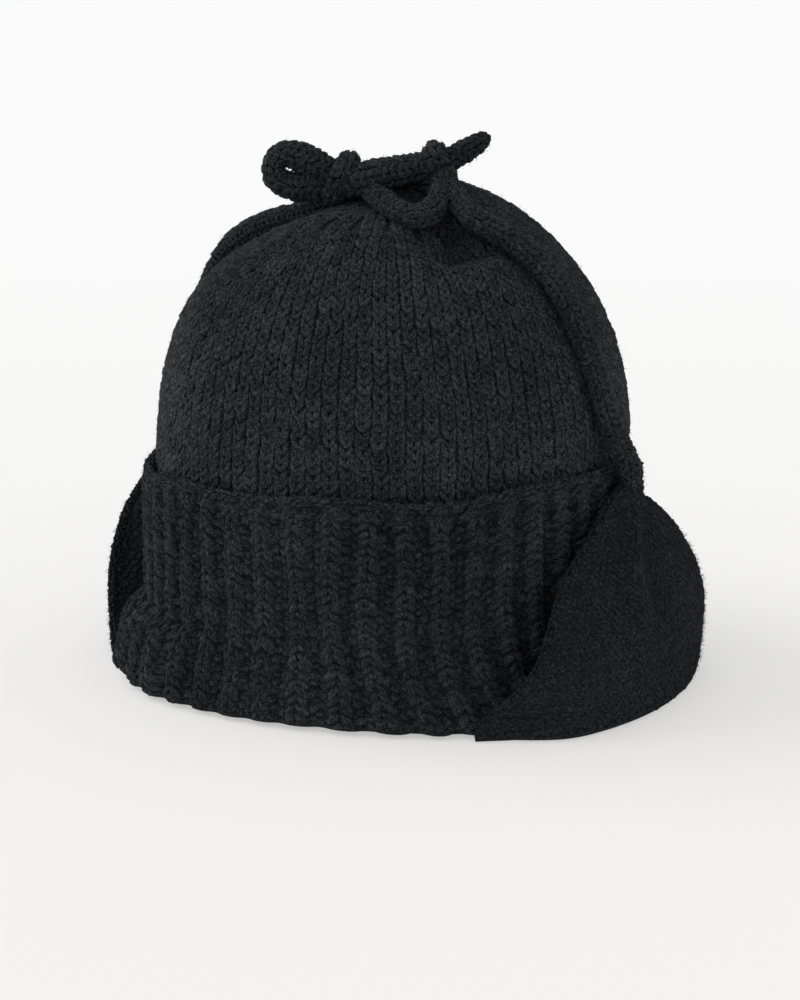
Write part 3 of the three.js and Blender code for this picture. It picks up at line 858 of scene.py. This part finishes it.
def knitCord(route, radius, seed, turn=0.0):
    # radius is a function of the length along the cord
    total = route["s"][-1]
    rows = np.arange(cordTile["row"] * 0.45, total - cordTile["row"] * 0.25, cordTile["row"])
    col, row = flatGrid(np.arange(cord["columns"]), rows)
    cells = {"col": (col / cord["columns"]) * 2 * math.pi + turn, "row": row}

    def where(cells, x, y):
        s = np.clip(cells["row"][:, None] + y, 0, total)
        r = radius(s) - cord["crest"]
        a = cells["col"][:, None] + x / cordTile["width"] * 2 * math.pi / cord["columns"]
        normal = alongRoute(route, s, "normals")
        side = alongRoute(route, s, "sides")
        out = normal * np.cos(a)[..., None] + side * np.sin(a)[..., None]
        return alongRoute(route, s, "centres") + out * r[..., None], out

    stitches = knit(cordTile, cells, where, cord["looseness"], seed)
    hairs = fuzz(cordTile, cells, where, int(total * cord["hairs"]), seed + 100)
    s = np.linspace(0.2, total - 0.2, max(4, int(total / cord["coreStep"])))
    angles = np.linspace(0, 2 * math.pi, 10, endpoint=False)
    r = radius(s) - cord["coreDepth"]
    r[[0, -1]] *= cord["coreEnd"]
    normal = alongRoute(route, s, "normals")[:, None]
    side = alongRoute(route, s, "sides")[:, None]
    core = alongRoute(route, s, "centres")[:, None] + r[:, None, None] * (
        normal * np.cos(angles)[None, :, None] + side * np.sin(angles)[None, :, None]
    )
    blocks = facesOut(core, skin(core, closeEnds=True))
    return [stitches, hairs, (core, blocks, shadedPlainYarn(core))]


ties = {
    "diameter": 9.2,
    "footShare": 0.62,
    "footLength": 8,
    "right": {
        "length": 125,
        "route": [
            (100.6, 0, 78.5), (101.2, -0.3, 83), (101, -1, 87.5), (99.9, -2, 92), (97.6, -3.4, 97), (95.4, -5.5, 104),
            (93.2, -7.6, 113), (90.8, -9.2, 123), (87.4, -10.4, 132.5), (81.4, -11.4, 145.1), (76.2, -12.2, 153.4),
            (70.8, -13.4, 160.2), (65.6, -15.1, 165.4), (60.1, -17.3, 169.8), (54.7, -19.2, 172.9),
            (48.5, -20.4, 176), (42.5, -21.3, 178.7),
        ],
    },
    "left": {
        "length": 138,
        "route": [
            (-100.6, 0, 78.5), (-101.2, 0, 83), (-101, 0, 87.5), (-99.9, 0, 92), (-97.4, 0, 97), (-94.9, -0.1, 104),
            (-93.1, -0.6, 113.7), (-91.2, -1.2, 122.7), (-88.4, -1.9, 131.9), (-84.7, -2.8, 140.4),
            (-80.6, -3.7, 147.4), (-76.3, -4.6, 153.2), (-71.3, -5.7, 158.4), (-65, -7, 162.9), (-58, -8, 166.4),
            (-50.5, -9.3, 169.2), (-42.8, -10.5, 171.4), (-35, -11.7, 173.2), (-29, -12.8, 174.9),
            (-23.7, -13.5, 177),
        ],
    },
}


def toRow(points):
    return (np.array(points) + np.array([*axisPlace, 0])) / 1000


def tieRadius(s):
    # the foot is pointed
    foot = ties["footShare"]
    return ties["diameter"] / 2 * (foot + (1 - foot) * smooth(0, ties["footLength"], s))


def buildTies():
    for seed, side in enumerate(("right", "left")):
        tie = ties[side]
        route = routeThrough(tie["route"])
        parts = knitCord(route, tieRadius, 31 + seed, turn=0.6)
        piece = addMesh(f"tie_{side}_knit", parts, "tie_knit")
        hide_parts(f"tie_{side}")
        tie["piece"] = piece
        tie["path"] = [tuple(point) for point in toRow(route["centres"][::4])]
        print(f"tie_{side}: {route['s'][-1]:.1f} mm long")


buildTies()


# Bow: in its own frame of across, toward the front and height
bow = {
    # across, toward, height, radius
    "strands": {
        "left_loop": [
            (-20.5, 7, 188.6, 5.4), (-28.2, 7, 192.3, 5.9), (-33.4, 7, 195.1, 6.4), (-37.8, 7.5, 197, 6.2),
            (-41.8, 8, 197, 5.4), (-44.7, 8, 194.3, 4.9), (-45, 8, 190.2, 4.8), (-42.6, 8, 186.9, 5.3),
            (-38.2, 7.5, 185.3, 6), (-33.4, 7, 185, 6.1), (-28.2, 7, 185.2, 5.7), (-20.5, 7, 186.6, 5.3),
        ],
        "upper_strand": [
            (-22.4, 11, 186, 5.6), (-15.7, 13, 187.4, 6.4), (-9.5, 13.3, 188.9, 6.7), (-3.4, 13, 190.2, 6.6),
            (2.5, 12, 191.3, 6.4), (7.8, 11, 192.2, 6), (13.5, 9, 193.2, 5.6), (18.5, 6.5, 194, 5.1),
        ],
        "front_loop": [
            (-9, 12, 184.2, 4.4), (-6.2, 20, 182.8, 4.8), (-2, 29, 180.3, 5), (2.4, 36, 178.2, 5),
            (7.2, 39.6, 177.6, 5), (12.2, 37.6, 178.5, 5), (15.8, 31, 181, 4.9), (17.6, 21, 184.4, 4.9),
            (18.3, 12, 188, 4.9), (17.8, 6, 191.6, 4.9),
        ],
        "right_root": [
            (28.3, 41.4, 177.2, 4.5), (25.3, 36, 180, 4.6), (22.6, 26, 183.4, 4.6), (15.5, 12, 185.8, 4.6),
            (6, 4, 185.6, 4.6), (-4, 1, 184.6, 4.6), (-12, 4, 183.4, 4.6), (-19, 7, 184, 4.4),
        ],
        "left_root": [(-26.2, 0, 177.6, 4.6), (-24.4, 3, 180, 4.6), (-21.8, 6, 183.4, 4.6), (-20, 7, 186.6, 4.4)],
        "front_tail": [
            (14, 3, 192, 4.6), (18.1, 2, 193.4, 5.0), (22, 2, 195.1, 4.9), (26.3, 2, 197.5, 4.8),
            (30.6, 2, 200.2, 4.5), (34.6, 2, 202.6, 3.9), (36.6, 2, 203.7, 2.6),
        ],
        "back_tail": [
            (-18, 6, 187, 4.9), (-14, -4, 188, 4.9), (-9, -14, 188.4, 4.8), (-3, -22, 187.8, 4.6),
            (3, -29, 186.6, 4.1), (6, -32.6, 185.9, 2.4),
        ],
    },
    # across, toward, height, ring radius, cord radius, slant
    "wraps": {"knot": (-19.8, 8.5, 188, 6.2, 4.9, 2.8), "right_wrap": (17.2, 6, 192.6, 5, 5, -2.2)},
}


def fromBow(points):
    points = np.array(points, float)
    across, toward, height = points[:, 0], points[:, 1], points[:, 2]
    x = across * math.cos(bowTurn) + toward * math.sin(bowTurn)
    y = across * math.sin(bowTurn) - toward * math.cos(bowTurn)
    return np.stack([x, y, height], -1)


def knitStrand(points, radii, seed):
    route = routeThrough(fromBow(points))
    places = np.linspace(0, route["s"][-1], len(radii))
    return knitCord(route, lambda s: np.interp(s, places, radii), seed)


def buildBow():
    parts = []
    seed = 41
    for rows in bow["strands"].values():
        parts += knitStrand([row[:3] for row in rows], [row[3] for row in rows], seed)
        seed += 1
    for across, toward, height, ring, radius, slant in bow["wraps"].values():
        turns = np.linspace(0, 2 * math.pi, 13)
        points = [
            (across + slant * math.sin(t), toward + ring * math.cos(t), height + ring * math.sin(t)) for t in turns
        ]
        parts += knitStrand(points, [radius, radius], seed)
        seed += 1
    piece = addMesh("bow_knit", parts, "tie_knit")
    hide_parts("bow")
    return piece


bowPiece = buildBow()


# Ear flaps: cups that stand off the cuff, purl side out
flaps = {
    # angle off the middle, height of the edge
    "edge": [
        (0, 82), (3, 81), (6, 78.5), (10, 74), (14, 69), (18, 64), (22, 59.5), (25.5, 54), (28.4, 47), (30.4, 39),
        (32.6, 29), (36.4, 18), (44, 4.5),
    ],
    # height, right, left
    "profile": [
        (0, 120.3, 110.1), (3, 121.5, 111.4), (12, 122, 112.2), (28, 121.6, 112.2), (38, 119.2, 111.4),
        (44, 116.8, 110.1), (50, 113.3, 108.7), (56, 109.7, 107.1), (62, 106.7, 105.0), (68, 104.2, 103.4),
        (75, 102.3, 102.3), (82, 101.5, 101.5),
    ],
    "right": {
        "middle": 0, "column": 1, "last": 44, "drop": 8, "skew": 5, "hug": 4.4,
        "frontPull": 0, "frontSwell": 0, "turnIn": 0, "ridge": 4.6, "hollow": 3.0,
    },
    # the cloth of the left flap's front side turns in toward the cuff
    "left": {
        "middle": 180, "column": 2, "last": 42, "drop": 0.6, "skew": 2.5, "hug": 0,
        "frontPull": 7, "frontSwell": 1.3, "turnIn": 9, "ridge": 0.8, "hollow": 0,
    },
    "meanRadius": 110,
    # painted light: tone added to the left flap's inner face, which the flap and cuff shade
    "paintedInsideLight": 3.6,
    "hugAngle": (28, 42),
    "hugHeight": (38, 6),
    # the crease leans back toward the foot, with the ridge on it and the hollow beside it
    "creaseLean": 11,
    "creaseHeight": (82, 42),
    "ridgeWidth": 2.9,
    "ridgeHeight": (14, 52),
    "hollowPlace": 9,
    "hollowWidth": 4.5,
    "hollowHeight": (26, 56),
    "tipHeight": (82, 70),
    "dropFrom": 24,
    "halfAngle": 44,
    "skewHeight": 30,
    "thinFrom": 34,
    "thinning": 0.75,
    "shelfShare": 0.6,
    "columnWidth": 2.75,
    "rowHeight": 1.6,
    "crest": 0.9,
    "wallInset": 0.65,
    "wallColumns": 170,
    "outerRows": 14,
    "innerRows": 56,
    "fuzz": 4500,
    "looseness": {"size": 0.1, "slide": 0.24, "lift": 0.08, "turn": 34, "lump": 0.08},
    "pebble": {"depth": 0.45, "across": 3.1, "up": 3.4},
    "selvage": {"halfAngle": 43.5, "under": 2.2, "step": 1.9, "yarnRadius": 1.5, "curl": 2.6, "turn": 0.85},
}


def flapEdgeHeight(flap, off):
    # the left flap's front side is drawn back behind the cuff's bulge
    pulled = off + flap["frontPull"] * smooth(25, 34, off)
    return readTable(flaps["edge"], 1, np.abs(pulled))


def flapRadius(flap, off, z):
    drop = flap["drop"] * smooth(flaps["dropFrom"], flaps["halfAngle"], np.abs(off))
    skew = flap["skew"] * np.maximum(0, 1 - z / flaps["skewHeight"]) * np.sin(np.radians(off))
    hug = flap["hug"] * smooth(*flaps["hugAngle"], -off) * smooth(*flaps["hugHeight"], z)
    crease = off + flaps["creaseLean"] * smooth(*flaps["creaseHeight"], z)
    ridge = flap["ridge"] * np.exp(-0.5 * (crease / flaps["ridgeWidth"]) ** 2)
    ridge = ridge * smooth(*flaps["ridgeHeight"], z)
    hollow = flap["hollow"] * np.exp(-0.5 * ((crease - flaps["hollowPlace"]) / flaps["hollowWidth"]) ** 2)
    hollow = hollow * smooth(*flaps["hollowHeight"], z)
    free = readTable(flaps["profile"], flap["column"], z) - drop - skew - hug
    free = free + (ridge - hollow) * smooth(*flaps["tipHeight"], z) + flap["frontSwell"] * smooth(5, 20, off)
    thin = flaps["thinning"] * smooth(flaps["thinFrom"], flaps["halfAngle"], np.abs(off))
    return np.maximum(free, flaredRadius(flap["middle"] + off, z) + gap + flapWall * (1 - thin))


flapTile = makeTile(
    "purl_stitch",
    {**bump, "width": 2.3, "length": 2.8, "thick": 1.9, "lean": 80},
    flaps["columnWidth"],
    flaps["rowHeight"],
)


def pebbles(across, up):
    # the purl bumps of the flap's shaded inner face, as one relief
    pebble = flaps["pebble"]
    return pebble["depth"] * np.cos(2 * math.pi * across / pebble["across"]) * np.cos(2 * math.pi * up / pebble["up"])


def buildFlap(side, seed):
    flap = flaps[side]
    middle = flap["middle"]
    looseness = flaps["looseness"]

    def outer(off, z, inset=flaps["crest"]):
        return polar(middle + off, flapRadius(flap, off, z) - inset, z)

    # Bumps inside the outline, in a brick pattern
    perDegree = math.radians(1) * flaps["meanRadius"]
    halfColumns = int(flaps["halfAngle"] * perDegree / flaps["columnWidth"])
    col, row = flatGrid(np.arange(-halfColumns, halfColumns + 1), np.arange(0, 52))
    off = (col + 0.5 * (row % 2)) * flaps["columnWidth"] / perDegree
    z = 1.2 + row * flaps["rowHeight"]
    everyCell = {"col": off, "row": z}
    edgeHeight = flapEdgeHeight(flap, off)
    cells = pick(everyCell, (z < edgeHeight - 1.4) & (off < flap["last"]))

    def where(cells, x, y):
        z = np.maximum(cells["row"][:, None] + y, 0.4)
        return surfaceFrame(outer, cells["col"][:, None] + x / perDegree, z)

    parts = [
        knit(flapTile, cells, where, looseness, seed),
        fuzz(flapTile, pick(cells, cells["row"] > 4), where, flaps["fuzz"], seed + 2),
    ]

    # The turned-in side shows bumps too
    rimOffs = np.linspace(0, flap["last"], 100)
    rimHeights = flapEdgeHeight(flap, rimOffs)

    def turnedIn(off, z):
        rim = np.interp(z, rimHeights[::-1], rimOffs[::-1])
        return flap["turnIn"] * smooth(rim - 0.5, rim - 6, off) * smooth(-6, 6, off)

    def inner(off, z):
        depth = flapWall + turnedIn(off, z)
        clear = flaredRadius(middle + off, z) + gap + 0.3
        return polar(middle + off, np.maximum(flapRadius(flap, off, z) - depth, clear), z)

    def whereInside(cells, x, y):
        z = np.maximum(cells["row"][:, None] + y, 0.4)
        return surfaceFrame(inner, cells["col"][:, None] + x / perDegree, z, flip=-1)

    if flap["turnIn"]:
        insideCells = pick(everyCell, (z < edgeHeight - 2.2) & (off > 8) & (off < flap["last"] - 2))
        points, faces, yarn = knit(flapTile, insideCells, whereInside, looseness, seed + 3)
        # the turned-in bumps are painted lighter, as painted light on their shaded side
        yarn[..., 2] += flaps["paintedInsideLight"]
        parts.append((points, faces, yarn))

    # Selvage: rows of bumps over the rounded free edge
    selvage = flaps["selvage"]
    offs = np.concatenate([np.linspace(-selvage["halfAngle"], 0, 34), np.linspace(0, flap["last"] - 0.5, 34)[1:]])
    route = routeThrough(outer(offs, flapEdgeHeight(flap, offs) - selvage["under"], flapWall / 2))
    steps = np.arange(0.8, route["s"][-1] - 0.8, selvage["step"])
    turnStep, step = flatGrid(np.arange(-2, 3), steps)
    edgeCells = {"col": turnStep * selvage["turn"], "row": step + selvage["step"] / 2 * (turnStep % 2)}

    def whereEdge(cells, x, y):
        s = np.clip(cells["row"][:, None] + y, 0, route["s"][-1])
        centre = alongRoute(route, s, "centres")
        out = unit(centre * np.array([1, 1, 0]))
        tangent = np.cross(alongRoute(route, s, "normals"), alongRoute(route, s, "sides"))
        up = unit(np.cross(tangent, out))
        up = up * np.where(up[..., 2:] < 0, -1, 1)
        a = cells["col"][:, None] + x / selvage["curl"]
        normal = up * np.cos(a)[..., None] + out * np.sin(a)[..., None]
        return centre + normal * selvage["yarnRadius"], normal

    parts.append(knit(flapTile, edgeCells, whereEdge, looseness, seed + 1))

    # Wall behind the stitches; its inner face carries the bumps of the inside
    rings = []
    for offset in np.linspace(-flaps["halfAngle"], flap["last"], flaps["wallColumns"]):
        height = float(flapEdgeHeight(flap, offset)) - 1.5
        shelf = min(flapWall, height * flaps["shelfShare"])
        outside = outer(offset, np.linspace(0, height, flaps["outerRows"]), flaps["wallInset"])
        z = np.linspace(height, shelf, flaps["innerRows"])
        face = flapRadius(flap, offset, z)
        clear = flaredRadius(middle + offset, z) + gap
        fade = smooth(0, 4, z - shelf) * smooth(0, 3, height - z)
        bumps = pebbles(offset * perDegree, z) * fade
        innerFace = np.minimum(face - 2.2, np.maximum(face - flapWall - turnedIn(offset, z) + bumps, clear))
        inside = polar(middle + offset, innerFace, z)
        # the shelf reaches from the foot of the wall to the cuff
        ledge = np.array([0.0, shelf])
        foot, head = polar(middle + offset, flaredRadius(middle + offset, ledge) + gap, ledge)
        rings.append(np.concatenate([foot[None], outside, inside, head[None]]))
    wall = np.array(rings)
    blocks = facesOut(wall, skin(wall, closeEnds=True))
    # the flap's walls get less painted shade than the other walls
    wallYarn = shadedPlainYarn(wall, 0.8)
    # the wall's inner face is painted lighter in the same way
    if flap["turnIn"]:
        wallYarn[:, flaps["outerRows"] + 1 : -1, 2] += flaps["paintedInsideLight"]
    parts.append((wall, blocks, wallYarn))
    piece = addMesh(f"ear_flap_{side}_knit", parts, "flap_knit")
    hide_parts(f"ear_flap_{side}")


buildFlap("right", 61)
buildFlap("left", 65)


# Studio: a wide pale floor that glows and is painted brighter toward the back, even white light and a broad soft sun
# from the left
studio = {
    # the floor is painted brighter toward the back, as painted light falling off toward the front
    "floorNear": (0.940, 0.932, 0.925, 1),
    "floorFar": (0.995, 0.995, 0.996, 1),
    "paintedGlow": 0.5,
    "floorShade": 0.5,
    "nearPlace": -0.5,
    "farPlace": 1.6,
    "worldStrength": 0.72,
    "worldSeen": 0.96,
    "sunStrength": 1.36,
    "sunSpread": 55,
    "sunHeading": (-1.35, -0.4, 0.8),
}


def addStudio():
    clearSelection()
    bpy.ops.mesh.primitive_plane_add(size=90, location=(0, 0, -0.0004))
    floor = bpy.context.object
    floor.name = "floor"
    material = bpy.data.materials.new("white_floor")
    material.use_nodes = True
    tree = material.node_tree
    shader = tree.nodes["Principled BSDF"]
    place = addNode(tree, "ShaderNodeTexCoord")
    split = addNode(tree, "ShaderNodeSeparateXYZ", {"Vector": place.outputs["Object"]})
    # painted light: the floor colour grows brighter with the distance behind the cap
    part = addMath(tree, "MULTIPLY", split.outputs["X"], -math.sin(bowTurn))
    behind = addMath(tree, "MULTIPLY_ADD", split.outputs["Y"], math.cos(bowTurn), part)
    share = addNode(
        tree,
        "ShaderNodeMapRange",
        {"Value": behind, "From Min": studio["nearPlace"], "From Max": studio["farPlace"]},
        interpolation_type="SMOOTHSTEP",
    )
    colour = addNode(
        tree,
        "ShaderNodeMix",
        {"Factor": share.outputs[0], "A": studio["floorNear"], "B": studio["floorFar"]},
        data_type="RGBA",
    )
    shade = addNode(
        tree,
        "ShaderNodeMix",
        {"Factor": studio["floorShade"], "A": (0, 0, 0, 1), "B": colour.outputs["Result"]},
        data_type="RGBA",
    )
    tree.links.new(shade.outputs["Result"], shader.inputs["Base Color"])
    # the floor glows though it is no lamp; this painted light softens the shadows on it
    tree.links.new(colour.outputs["Result"], shader.inputs["Emission Color"])
    shader.inputs["Emission Strength"].default_value = studio["paintedGlow"]
    shader.inputs["Roughness"].default_value = 0.9
    shader.inputs["Specular IOR Level"].default_value = 0.0
    floor.data.materials.append(material)
    world = bpy.data.worlds.new("studio")
    world.use_nodes = True
    background = world.node_tree.nodes["Background"]
    background.inputs["Color"].default_value = (1, 1, 1, 1)
    sight = addNode(world.node_tree, "ShaderNodeLightPath")
    strength = addNode(
        world.node_tree,
        "ShaderNodeMapRange",
        {
            "Value": sight.outputs["Is Camera Ray"],
            "To Min": studio["worldStrength"],
            "To Max": studio["worldSeen"],
        },
    )
    world.node_tree.links.new(strength.outputs[0], background.inputs["Strength"])
    bpy.context.scene.world = world
    bpy.ops.object.light_add(type="SUN", location=(-1, -1, 1.5))
    lamp = bpy.context.object
    lamp.name = "soft_sun"
    lamp.data.energy = studio["sunStrength"]
    lamp.data.angle = math.radians(studio["sunSpread"])
    x, y, z = studio["sunHeading"]
    lamp.rotation_euler = (math.atan2(math.hypot(x, y), z), 0, math.atan2(x, -y))
    bpy.context.scene.view_settings.view_transform = "Standard"
    print("studio ready")


addStudio()
